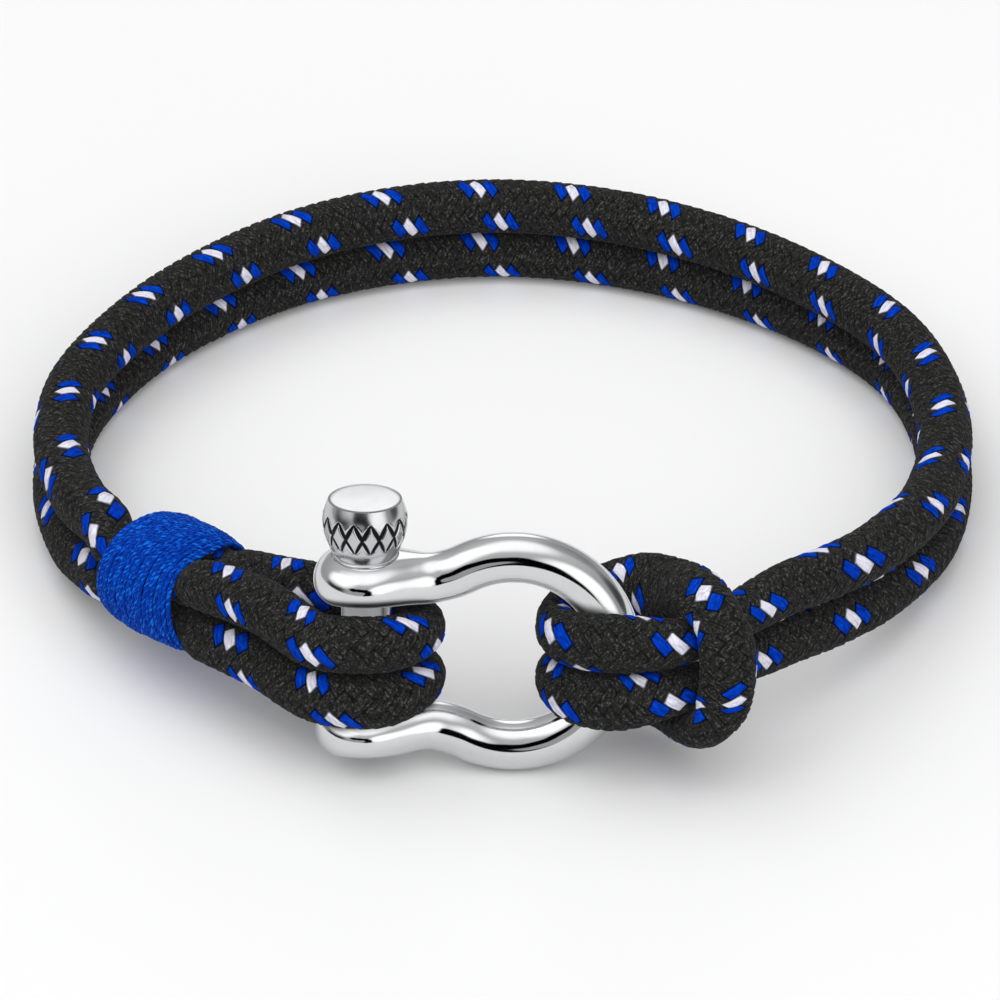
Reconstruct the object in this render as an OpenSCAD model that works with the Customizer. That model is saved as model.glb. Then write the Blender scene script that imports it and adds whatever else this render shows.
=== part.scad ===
// Rope bracelet that lies on its side: one braided cord, doubled into two strands, one over the other.
// The bight of the cord is hitched round the crown of a bow shackle. Its two ends each make an eye round
// the screw pin of the shackle and are bound with thread beside their own standing strands.
// World: x to the right, y to the back, z up. The clasp's own frame is x, v (back) and w (up), and leans.

/* [Cord] */
// Diameter of the braided cord
cord_d = 4.4; // [4:0.1:4.5]
// Sides of the cord's round section
cord_sides = 16; // [12:2:20]
// Radius of the middle of the cord in each eye round the pin
eye_r = 4.25; // [4.2:0.05:4.6]

/* [Binding] */
// Length of the thread binding along the strands
bind_length = 8.4; // [7:0.2:11]
// Thickness of the layer of thread at both ends
bind_wall = 0.6; // [0.5:0.1:1]
// How much thicker the layer is in its middle
bind_swell = 0.4; // [0:0.1:0.8]
// Half width of the hollow of the binding, across the band
bind_half_w = 4.5; // [4.5:0.1:5]
// Half height of the hollow of the binding
bind_half_h = 3.8; // [3.8:0.1:4.2]
// Sides of the binding's round section
bind_sides = 32; // [24:4:48]

/* [Shackle] */
// Diameter of the shackle's wire
wire_d = 4; // [3.4:0.1:4.1]
// Radius of the middle of the wire in the bow
bow_r = 8.1; // [7.9:0.1:8.4]
// Distance from the pin to the centre of the bow
bow_x = 11.7; // [11.4:0.1:12]
// Radius of the bend between each arm and the bow
neck_r = 8; // [7:0.5:9]
// Height of the middle of each ear above and below the middle of the clasp
ear_w = 6.3; // [6.1:0.05:6.4]
// Outer radius of each ear
ear_r = 4.1; // [3.8:0.1:4.4]
// Thickness that each ear would have if both its sides were as round as the outer one
ear_t = 4.4; // [4:0.1:4.6]
// Distance from the middle of each ear to the pin's seat, and to the face of the jaw
seat = 1.75; // [1.6:0.05:1.8]
// Diameter of the bore for the pin
bore_d = 3.9; // [3.86:0.02:3.96]
// Lean of the clasp's top, away from the front
lean = 12.4; // [12:0.2:13]

/* [Screw pin] */
// Diameter of the pin's shank
pin_d = 3.8; // [3.76:0.02:3.82]
// Diameter of the collar under the head
collar_d = 5.2; // [4.6:0.1:5.4]
// Height of the collar
collar_h = 0.45; // [0.3:0.05:0.8]
// Largest diameter of the barrel head
head_d = 6.72; // [6:0.02:7]
// Height of the whole head with its collar
head_h = 5.2; // [4.6:0.05:5.6]
// Diameter of the flat top of the head
top_d = 5.76; // [5:0.02:6]

/* [Hidden] */

// Place of the model: the middle of its box over the origin, the lowest point on z = 0
place = [-0.045, 3.89, -0.02];
// Middle of the clasp: the pin's axis at half the height of the jaw
clasp_at = [-10.8, -33.9, 9.9];
cord_r = cord_d / 2;
wire_r = wire_d / 2;

// Columns of every table of the doubled cord
X = 0;
Y = 1;
Z = 2;
// Lean of the upper strand towards the inside, degrees
TIP = 3;
// Distance between the middles of the two strands, as a share of the cord's diameter
APART = 4;
// Half thickness across the band and half height, as shares of the cord's radius
FLAT = 5;
TALL = 6;
// Rings from this row to the next one
CUTS = 7;

// Where the four strands lie inside the binding: two beside each other, two over each other
bind_aside = 1.85;
bind_apart = 0.71;
bind_flat = 0.8;
bind_tall = 0.66;
// Middle and direction of the binding, and how the strands lean there
bind_at = [-25.9, -21.7, 8.0];
bind_dir = [0.63, -0.76, 0.18];
bind_tip = 6;

// Rows along the inner legs: from the cut ends in the binding to the pin
inner_leg = [
  //  x      y      z   tip  apart flat  tall  cuts
  [-21.3, -24.4,  9.0,   7, 0.75, 0.83, 0.71, 1],
  [-20.3, -25.2,  8.9,   7, 0.93, 0.90, 0.88, 2],
  [-17.6, -27.0,  9.2,   8, 1.00, 0.98, 0.95, 2],
  [-14.6, -29.0,  9.9,  10, 1.01, 0.97, 0.96, 2],
];
// Rows round the pin in each eye: angle from x towards the back, rise over the clasp's middle
ANGLE = 0;
RISE = 1;
eye_rows = [
  // angle rise  -    tip apart flat  tall  cuts
  [ 85,  0.2,  0, 12.4, 0.98, 0.97, 0.92, 2],
  [ 45,  0.0,  0, 12.4, 0.94, 0.97, 0.88, 2],
  [ 10,  0.0,  0, 12.4, 0.94, 0.97, 0.88, 2],
  [-25,  0.0,  0, 12.4, 0.97, 0.97, 0.90, 2],
  [-60,  0.0,  0, 12.4, 1.06, 0.97, 1.01, 2],
  [-95,  0.0,  0, 12.4, 1.09, 0.97, 1.04, 2],
];
// Rows along the outer legs, from the pin to the binding
outer_leg = [
  //  x      y      z   tip  apart flat  tall  cuts
  [-14.8, -36.4, 10.2,  11, 1.07, 1.00, 1.03, 2],
  [-18.4, -32.7, 10.3,   9, 1.13, 1.00, 1.00, 2],
  [-21.3, -29.9,  9.9,   7, 1.10, 0.98, 0.99, 2],
  [-23.5, -27.8,  9.4,   6, 1.03, 0.91, 0.97, 2],
  [-24.2, -26.8,  9.1,   6, 0.80, 0.84, 0.75, 1],
];
// Rows round the wrist, from the binding to the hitch
band = [
  //  x      y      z   tip  apart flat  tall  cuts
  [-31.1, -18.2,  6.9,   6, 0.80, 0.84, 0.76, 2],
  [-31.9, -15.1,  6.4,   7, 1.01, 0.98, 0.96, 2],
  [-34.0, -10.0,  5.3,   5, 1.01, 1.00, 0.98, 2],
  [-35.4,  -2.0,  4.5,   1, 1.01, 1.00, 0.98, 3],
  [-34.6,   6.5,  4.4,   4, 1.01, 1.00, 0.98, 3],
  [-31.0,  14.0,  4.4,   8, 1.01, 1.00, 0.98, 3],
  [-25.6,  20.7,  4.4,   8, 1.01, 1.00, 0.98, 3],
  [-17.8,  26.8,  4.4,   4, 1.01, 1.00, 0.98, 3],
  [ -9.2,  30.4,  4.4,   1, 1.01, 1.00, 0.98, 3],
  [  0.0,  31.6,  4.4,   1, 1.01, 1.00, 0.98, 3],
  [  9.4,  30.1,  4.4,   2, 1.01, 1.00, 0.98, 3],
  [ 18.3,  26.3,  4.4,   5, 1.01, 1.00, 0.98, 3],
  [ 26.0,  20.8,  4.4,   9, 1.01, 1.00, 0.98, 3],
  [ 31.8,  14.2,  4.4,   8, 1.01, 1.00, 0.98, 3],
  [ 34.8,   6.5,  4.4,   4, 1.01, 1.00, 0.98, 3],
  [ 35.5,  -2.0,  4.5,   0, 1.01, 1.00, 0.98, 3],
  [ 33.9, -10.8,  5.3,   2, 1.01, 1.00, 0.97, 3],
  [ 30.0, -18.6,  6.6,   4, 1.01, 1.00, 0.97, 2],
  [ 26.2, -23.6,  7.8,   7, 1.01, 1.00, 0.97, 2],
  [ 22.8, -27.2,  8.8,   9, 1.01, 0.98, 0.97, 2],
  [ 20.4, -30.0,  9.4,  11, 0.96, 0.96, 0.90, 2],
  [ 18.2, -32.6,  9.9,  12, 0.87, 0.92, 0.80, 2],
  [ 16.0, -34.9, 10.3,  12, 0.81, 0.90, 0.74, 2],
  [ 13.4, -37.1, 10.7,  12, 0.94, 0.93, 0.88, 2],
];

// Columns of the table of the hitch, in the clasp's frame: place, broad direction, half sizes, rings
BROAD = 3;
THIN = 6;
WIDE = 7;
RINGS = 8;
// Rows of the hitch, from the upper front leg round the crown and the bight to the lower front leg
hitch = [
  //  x     v     w     broad     thin  wide  rings
  [20.0, -4.2,  2.5,   0,  0,  1,  0.93, 1.08, 2],
  [16.4, -3.1,  2.4,   0,  0,  1,  0.86, 1.02, 2],
  [15.1,  0.0,  2.2,   0,  0,  1,  0.77, 0.96, 2],
  [16.4,  3.1,  2.6,   0,  0,  1,  0.86, 0.98, 2],
  [19.3,  4.2,  3.5,   0,  0,  1,  0.92, 1.00, 2],
  [21.8,  3.9,  3.9,   0,  1,  4,  0.86, 1.20, 2],
  [24.1,  1.8,  4.7,   2,  2,  3,  0.86, 1.18, 2],
  [26.1, -1.4,  5.5,   2,  2,  1,  0.76, 1.10, 2],
  [27.8, -3.8,  4.5,   2,  2,  0,  0.77, 1.05, 2],
  [28.6, -5.2,  2.0,   3,  1,  0,  0.86, 1.05, 2],
  [28.4, -5.3, -1.6,   3,  1,  0,  0.86, 1.04, 2],
  [27.4, -4.8, -4.2,   2,  2,  0,  0.73, 1.02, 2],
  [25.8, -2.1, -5.6,   2,  2, -1,  0.73, 1.06, 2],
  [24.1,  1.2, -5.6,   2,  2, -3,  0.84, 1.06, 2],
  [21.8,  3.6, -5.0,   0,  1, -4,  0.90, 1.02, 2],
  [19.3,  4.3, -4.0,   0,  0, -1,  0.92, 1.00, 2],
  [16.4,  3.1, -2.9,   0,  0, -1,  0.86, 0.98, 2],
  [15.1,  0.0, -2.2,   0,  0, -1,  0.77, 0.96, 2],
  [16.4, -3.1, -2.4,   0,  0, -1,  0.86, 1.02, 2],
  [20.0, -4.2, -2.5,   0,  0, -1,  0.93, 1.08, 2],
];

// Vectors of the clasp's frame in the world
axis_x = [1, 0, 0];
axis_v = [0, cos(lean), -sin(lean)];
axis_w = [0, sin(lean), cos(lean)];
function clasp_dir(d) = d[0] * axis_x + d[1] * axis_v + d[2] * axis_w;
function clasp_point(p) = clasp_at + clasp_dir(p);
function unit(a) = a / norm(a);
function sub(row, from, count) = [for (i = [0:count - 1]) row[from + i]];

// Row of the doubled cord in an eye, from its angle round the pin
function eye_row(r) = concat(
  clasp_point([eye_r * cos(r[ANGLE]), eye_r * sin(r[ANGLE]), r[RISE]]),
  [r[TIP], r[APART], r[FLAT], r[TALL], r[CUTS]]
);
// Row of a pair of strands inside the binding, along it by s and to the side by aside
bind_t = unit(bind_dir);
bind_side = unit(cross([0, 0, 1], bind_t));
bind_up = cross(bind_t, bind_side);
function bind_row(s, aside) = concat(
  bind_at + s * bind_t + aside * bind_side,
  [bind_tip, bind_apart, bind_flat, bind_tall, 2]
);
bind_half = bind_length / 2;
bind_mouth = bind_half + 0.4;
// The cut ends stand out of the binding by about tail, at tail_aside from its middle
tail = 0.6;
tail_aside = 2.2;
inner_bound = concat(
  [bind_row(-bind_mouth - tail, tail_aside)],
  [for (s = [-bind_mouth, -bind_half / 2, bind_half / 2, bind_mouth]) bind_row(s, bind_aside)]
);
outer_bound = [
  for (s = [bind_mouth, bind_half / 2, -bind_half / 2, -bind_mouth]) bind_row(s, -bind_aside)
];

// Uniform Catmull-Rom curve through the rows of a table, all columns at once
function spline(p0, p1, p2, p3, t) = 0.5 * (2 * p1 + (p2 - p0) * t
  + (2 * p0 - 5 * p1 + 4 * p2 - p3) * t * t + (3 * p1 - p0 - 3 * p2 + p3) * t * t * t);
function at(rows, i) = i < 0 ? 2 * rows[0] - rows[1]
  : i >= len(rows) ? 2 * rows[len(rows) - 1] - rows[len(rows) - 2]
  : rows[i];
function curve(rows, cuts_column) = [
  for (i = [0:len(rows) - 2]) for (k = [0:rows[i][cuts_column] - 1])
    spline(at(rows, i - 1), rows[i], rows[i + 1], at(rows, i + 2), k / rows[i][cuts_column]),
  rows[len(rows) - 1]
];
function reverse(list) = [for (i = [len(list) - 1:-1:0]) list[i]];

// Rows of one strand: place, broad direction, thin and wide half sizes, rings
function inward(r) = let (f = min(1, max(0, (-r[Y] - 18) / 8)))
  unit((1 - f) * unit([-r[X], -2 - r[Y], 0]) + f * [0, 1, 0]);
function stack_dir(r) = inward(r) * sin(r[TIP]) + [0, 0, cos(r[TIP])];
function strand_row(r, side) = concat(
  sub(r, 0, 3) + side * r[APART] * cord_r * stack_dir(r),
  side * stack_dir(r),
  [r[FLAT], r[TALL], r[CUTS]]
);
function hitch_row(r) = concat(
  clasp_point(r),
  unit(clasp_dir(sub(r, BROAD, 3))),
  [r[THIN], r[WIDE], r[RINGS]]
);

doubled = concat(inner_bound, inner_leg, [for (r = eye_rows) eye_row(r)], outer_leg, outer_bound, band);
upper = [for (r = doubled) strand_row(r, 1)];
lower = [for (r = doubled) strand_row(r, -1)];
whole_cord = concat(upper, [for (r = hitch) hitch_row(r)], reverse(lower));

// Direction of a path at its point i
function tangent(path, i) = let (after = path[min(i + 1, len(path) - 1)], before = path[max(i - 1, 0)])
  unit(sub(after, 0, 3) - sub(before, 0, 3));
// Ring of the cord's section at point i of the path: an ellipse across the path, broad along BROAD
function ring(path, i) = let (
    t = tangent(path, i),
    b = sub(path[i], BROAD, 3),
    broad = unit(b - (b * t) * t),
    thin = cross(t, broad)
  ) [for (k = [0:cord_sides - 1]) let (a = 360 * k / cord_sides)
    sub(path[i], 0, 3) + cord_r * (path[i][THIN] * cos(a) * thin + path[i][WIDE] * sin(a) * broad)];

// Faces of a tube of rings with closed ends
function tube_faces(rings, sides) = concat(
  [[for (k = [0:sides - 1]) k]],
  [for (i = [0:rings - 2]) for (k = [0:sides - 1]) let (n = (k + 1) % sides)
    each [
      [i * sides + k, (i + 1) * sides + k, (i + 1) * sides + n],
      [i * sides + k, (i + 1) * sides + n, i * sides + n]
    ]],
  [[for (k = [sides - 1:-1:0]) (rings - 1) * sides + k]]
);

module braided_cord() {
  path = curve(whole_cord, RINGS);
  rings = len(path);
  color([0.13, 0.13, 0.14]) translate(place)
    polyhedron([for (i = [0:rings - 1]) each ring(path, i)], tube_faces(rings, cord_sides), convexity = 12);
}

// Oval section of the binding at s along it, grown by g
function oval(s, g) = [for (k = [0:bind_sides - 1]) let (a = 360 * k / bind_sides)
  bind_at + s * bind_t + (bind_half_w + g) * cos(a) * bind_side + (bind_half_h + g) * sin(a) * bind_up];

// Places of the outer rings along the binding, as shares of its half length
bind_cuts = [1, 0.8, 0.5, 0, -0.5, -0.8, -1];
function layer(f) = bind_wall + bind_swell * (1 - pow(abs(f), 3));

module binding() {
  // Outer rings from the front to the back, then the hollow's two rings from the back to the front
  ovals = concat(
    [for (f = bind_cuts) oval(f * bind_half, layer(f))],
    [oval(-bind_half, 0), oval(bind_half, 0)]
  );
  turns = len(ovals);
  faces = [for (i = [0:turns - 1]) for (k = [0:bind_sides - 1])
    let (j = (i + 1) % turns, n = (k + 1) % bind_sides)
      each [
        [i * bind_sides + k, i * bind_sides + n, j * bind_sides + n],
        [i * bind_sides + k, j * bind_sides + n, j * bind_sides + k]
      ]];
  color([0.08, 0.2, 0.7]) translate(place)
    polyhedron([for (o = ovals) each o], faces, convexity = 4);
}

// Line of the wire: each ear is crossed by steps in angle, each arm is straight, each neck is an arc of
// neck_a degrees and the bow is the rest of a circle
neck_a = acos((ear_w + neck_r) / (bow_r + neck_r));
neck_x = bow_x - (bow_r + neck_r) * sin(neck_a);
ear_steps = 9;
ear_first = 14;
ear_last = 142;
arm_x = 3.4;
neck_steps = 6;
bow_steps = 28;
wire_sides = 20;
smooth = 64;
upper_arm = [
  for (i = [0:ear_steps]) let (a = ear_first + (ear_last - ear_first) * i / ear_steps)
    [-ear_r * cos(a), 0, ear_w],
  [(arm_x + neck_x) / 2, 0, ear_w],
  for (i = [0:neck_steps - 1]) let (a = neck_a * i / neck_steps)
    [neck_x + neck_r * sin(a), 0, ear_w + neck_r * (1 - cos(a))]
];
bow_sweep = 90 + neck_a;
bow = [
  for (i = [0:bow_steps]) let (a = bow_sweep * (1 - 2 * i / bow_steps))
    [bow_x + bow_r * cos(a), 0, bow_r * sin(a)]
];
wire_line = concat(upper_arm, bow, [for (p = reverse(upper_arm)) [p[0], 0, -p[2]]]);

// Section of the wire at x: half width across, half height on one side and squareness. It is round in the
// bow, and grows over the arm into the ear. The ear is half a disc to the left of the pin and tapers to its
// right. Its outer side (side above 0) is domed, and its side towards the jaw is lower.
blend_x = 5.4;
taper_x = 6.2;
ear_square = 0.85;
function ease(f) = let (g = min(1, max(0, f))) g * g * (3 - 2 * g);
function ear_share(x) = 1 - ease((x - arm_x / 2) / (blend_x - arm_x / 2));
function ear_across(x) = sqrt(max(0, pow(ear_r, 2) - pow(x, 2)));
function half_across(x) = x < 0 ? ear_across(x)
  : ear_r + (wire_r - ear_r) * ease(x / taper_x);
function half_height(x, side) = let (rim = side > 0 ? ear_t / 2 : seat, d = x + ear_r)
  d < rim ? sqrt(pow(rim, 2) - pow(rim - d, 2)) : rim + (wire_r - rim) * (1 - ear_share(x));
function squareness(x) = 1 + (ear_square - 1) * ear_share(x);
function power(a, e) = sign(a) * pow(abs(a), e);
function wire_ring(i) = let (
    p = wire_line[i],
    t = tangent(wire_line, i),
    n = cross(t, [0, 1, 0]),
    e = squareness(p[0])
  ) [for (k = [0:wire_sides - 1]) let (a = 360 * k / wire_sides, rise = power(cos(a), e))
    p + half_height(p[0], rise) * rise * n + half_across(p[0]) * power(sin(a), e) * [0, 1, 0]];

// The pin's seat is a flat in the upper ear, a little wider than the collar
ear_top = ear_w + seat;
seat_gap = 0.1;

module in_clasp() {
  translate(place + clasp_at) rotate([-lean, 0, 0]) children();
}

module shackle() {
  rings = len(wire_line);
  color([0.78, 0.8, 0.82]) in_clasp() difference() {
    polyhedron(
      [for (i = [0:rings - 1]) each wire_ring(i)],
      tube_faces(rings, wire_sides),
      convexity = 6
    );
    cylinder(d = bore_d, h = 3 * ear_w, center = true, $fn = smooth);
    translate([0, 0, ear_top]) cylinder(d = collar_d + 2 * seat_gap, h = ear_t, $fn = smooth);
  }
}

// Profile of the barrel: radius at its base, and height of its widest place as a share of its own
barrel_base = 2.55;
widest = 0.62;
barrel_steps = 8;
function barrel_r(f) = f < widest
  ? barrel_base + (head_d / 2 - barrel_base) * sin(90 * f / widest)
  : top_d / 2 + (head_d / 2 - top_d / 2) * cos(90 * (f - widest) / (1 - widest));

module screw_pin() {
  barrel_h = head_h - collar_h;
  color([0.7, 0.72, 0.75]) in_clasp() {
    translate([0, 0, -ear_top]) cylinder(d = pin_d, h = 2 * ear_top + collar_h, $fn = smooth);
    translate([0, 0, ear_top]) rotate_extrude($fn = smooth)
      polygon(concat(
        [[0, 0], [collar_d / 2, 0]],
        [for (i = [0:barrel_steps]) let (f = i / barrel_steps) [barrel_r(f), collar_h + barrel_h * f]],
        [[0, head_h]]
      ));
  }
}

braided_cord();
binding();
shackle();
screw_pin();
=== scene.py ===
"""Looks of a braided rope bracelet that closes with a steel bow shackle.

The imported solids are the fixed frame. Each of them is replaced by a finer surface of the same form: the cord gets
its interlaced yarns, the binding its turns of thread, the shackle its polish and the screw pin its knurl. Lengths
are in millimetres until a mesh is made, and the clasp has a frame of its own: x, v (to the back) and w (up).
"""

import logging
import math
from dataclasses import dataclass, field
from enum import Enum

import bmesh
import bpy
import numpy as np
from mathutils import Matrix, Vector


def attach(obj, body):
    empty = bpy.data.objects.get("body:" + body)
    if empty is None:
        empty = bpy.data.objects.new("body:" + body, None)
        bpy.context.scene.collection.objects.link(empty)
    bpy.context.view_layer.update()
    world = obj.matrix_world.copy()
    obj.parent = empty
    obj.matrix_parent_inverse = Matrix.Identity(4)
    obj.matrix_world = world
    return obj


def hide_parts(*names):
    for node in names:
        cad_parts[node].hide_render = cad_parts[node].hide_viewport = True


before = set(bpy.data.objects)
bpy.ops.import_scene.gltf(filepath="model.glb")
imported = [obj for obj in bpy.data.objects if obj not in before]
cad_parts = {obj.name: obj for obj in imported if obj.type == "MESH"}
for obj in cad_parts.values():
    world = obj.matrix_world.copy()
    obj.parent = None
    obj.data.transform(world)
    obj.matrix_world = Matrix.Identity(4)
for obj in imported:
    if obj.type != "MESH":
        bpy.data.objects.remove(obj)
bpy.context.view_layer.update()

MM = 0.001
# A share of a stroke's width that is far away from it
FAR = 9.0
# A width too small to matter, which keeps a division from failing
TINY = 1e-6
# Detail and roughness of the noise textures
COARSE, FINE = 2.0, 3.0
NOISE_ROUGH = 0.6
LOG = logging.getLogger("bracelet")

Colour = tuple[float, float, float]


class Body(Enum):
    """The moving bodies of the bracelet."""

    ROOT = "root"
    PIN = "pin"


class Slot(Enum):
    """The record's material slots."""

    CORD = "cord"
    THREAD = "thread"
    SHACKLE = "shackle_steel"
    PIN = "pin_steel"


def unit(vectors: np.ndarray) -> np.ndarray:
    """Vectors divided by their own lengths."""
    return vectors / np.linalg.norm(vectors, axis=-1, keepdims=True)


def ease(share: np.ndarray) -> np.ndarray:
    """Smooth step 3t^2 - 2t^3 of a share that is first held between 0 and 1."""
    t = np.clip(share, 0.0, 1.0)
    return t * t * (3.0 - 2.0 * t)


def tangents(points: np.ndarray) -> np.ndarray:
    """Unit directions along a line of points, from each point's two neighbours."""
    return unit(np.gradient(points, axis=0))


@dataclass(frozen=True)
class Surface:
    """A surface on a grid: points in millimetres, quads, and what its corners and points carry.

    Attributes:
        points: One row of x, y, z for each vertex.
        quads: Four vertex numbers for each face, outwards.
        uv: Two numbers for each corner of each face, or None.
        parts: Number of the material of each face, or None.
        values: Named numbers, one for each vertex.
    """

    points: np.ndarray
    quads: np.ndarray
    uv: np.ndarray | None = None
    parts: np.ndarray | None = None
    values: dict[str, np.ndarray] = field(default_factory=dict)

    def to_object(self, name: str) -> bpy.types.Object:
        """Puts the surface into a smooth mesh at the origin and welds its poles.

        Args:
            name: Name of the piece.

        Returns:
            The new object, in metres.
        """
        mesh = bpy.data.meshes.new(name)
        mesh.vertices.add(len(self.points))
        mesh.vertices.foreach_set("co", (self.points * MM).astype(np.float32).ravel())
        corners = self.quads.size
        mesh.loops.add(corners)
        mesh.loops.foreach_set("vertex_index", self.quads.astype(np.int32).ravel())
        mesh.polygons.add(len(self.quads))
        mesh.polygons.foreach_set("loop_start", np.arange(0, corners, 4, dtype=np.int32))
        if self.parts is not None:
            mesh.polygons.foreach_set("material_index", self.parts.astype(np.int32).ravel())
        if self.uv is not None:
            layer = mesh.uv_layers.new(name="follow")
            layer.data.foreach_set("uv", self.uv.astype(np.float32).ravel())
        for label, numbers in self.values.items():
            attribute = mesh.attributes.new(label, "FLOAT", "POINT")
            attribute.data.foreach_set("value", numbers.astype(np.float32).ravel())
        mesh.update(calc_edges=True)
        weld(mesh)
        mesh.polygons.foreach_set("use_smooth", np.ones(len(mesh.polygons), dtype=bool))
        piece = bpy.data.objects.new(name, mesh)
        bpy.context.scene.collection.objects.link(piece)
        return piece


def weld(mesh: bpy.types.Mesh, distance: float = 1e-7) -> None:
    """Merges vertices that lie in one place, so that poles are closed, and drops faces without an area."""
    work = bmesh.new()
    work.from_mesh(mesh)
    bmesh.ops.remove_doubles(work, verts=work.verts, dist=distance)
    work.to_mesh(mesh)
    work.free()


def ring_quads(rows: int, sides: int) -> np.ndarray:
    """Quads of a tube of rings: along the rows, and round each ring back to its first point."""
    row, side = np.meshgrid(np.arange(rows - 1), np.arange(sides), indexing="ij")
    after = (side + 1) % sides
    corners = ((row, side), (row + 1, side), (row + 1, after), (row, after))
    return np.stack([r * sides + s for r, s in corners], -1).reshape(-1, 4)


def ring_uv(along: np.ndarray, sides: int) -> np.ndarray:
    """Corner coordinates of ring_quads: millimetres along, and turns round without a seam's jump."""
    row, side = np.meshgrid(np.arange(len(along) - 1), np.arange(sides), indexing="ij")
    u = np.stack([along[row], along[row + 1], along[row + 1], along[row]], -1)
    v = np.stack([side, side, side + 1, side + 1], -1) / sides
    return np.stack([u, v], -1)


class Bench:
    """Makes the nodes of one material or world and joins them."""

    def __init__(self, owner: bpy.types.Material | bpy.types.World, shader: str = "Principled BSDF") -> None:
        """Starts with the shader that a new material or world has.

        Args:
            owner: Material or world.
            shader: Name of its shader's node.
        """
        owner.use_nodes = True
        self.tree = owner.node_tree
        self.shader = self.tree.nodes[shader]

    def node(self, kind: str, inputs: dict, **settings) -> bpy.types.Node:
        """Adds a node.

        Args:
            kind: Blender's name of the node.
            inputs: Sockets by name or number, each with a value or with the socket that feeds it.
            **settings: Properties of the node.

        Returns:
            The node.
        """
        made = self.tree.nodes.new(kind)
        for label, value in settings.items():
            setattr(made, label, value)
        self.feed(made, inputs)
        return made

    def feed(self, node: bpy.types.Node, inputs: dict) -> None:
        """Sets sockets of a node, or joins them to the sockets that feed them."""
        for label, value in inputs.items():
            if isinstance(value, bpy.types.NodeSocket):
                self.tree.links.new(value, node.inputs[label])
            else:
                node.inputs[label].default_value = value

    def math(self, operation: str, *terms) -> bpy.types.NodeSocket:
        """Result of a Math node on one or more terms."""
        return self.node("ShaderNodeMath", dict(enumerate(terms)), operation=operation).outputs[0]

    def between(self, value: bpy.types.NodeSocket, low: float, high: float) -> bpy.types.NodeSocket:
        """Share of value between low and high, smooth and held between 0 and 1."""
        inputs = {"Value": value, "From Min": low, "From Max": high}
        return self.node("ShaderNodeMapRange", inputs, interpolation_type="SMOOTHSTEP").outputs["Result"]

    def mix(self, share, first, second) -> bpy.types.NodeSocket:
        """Colour between first and second, by share."""
        return self.node("ShaderNodeMix", {0: share, 6: first, 7: second}, data_type="RGBA").outputs[2]

    def noise(
        self, vector: bpy.types.NodeSocket, scale: float, detail: float = COARSE, rough: float = NOISE_ROUGH
    ) -> bpy.types.NodeSocket:
        """Value of a noise texture."""
        inputs = {"Vector": vector, "Scale": scale, "Detail": detail, "Roughness": rough}
        return self.node("ShaderNodeTexNoise", inputs).outputs[0]

    def stretched(self, vector: bpy.types.NodeSocket, scale: tuple[float, ...]) -> bpy.types.NodeSocket:
        """Vector with each axis scaled by itself."""
        return self.node("ShaderNodeMapping", {"Vector": vector, "Scale": scale}).outputs[0]


def opaque(colour: Colour, share: float = 1.0) -> tuple[float, float, float, float]:
    """Colour times share, with an alpha of 1."""
    return (*(share * c for c in colour), 1.0)


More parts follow.
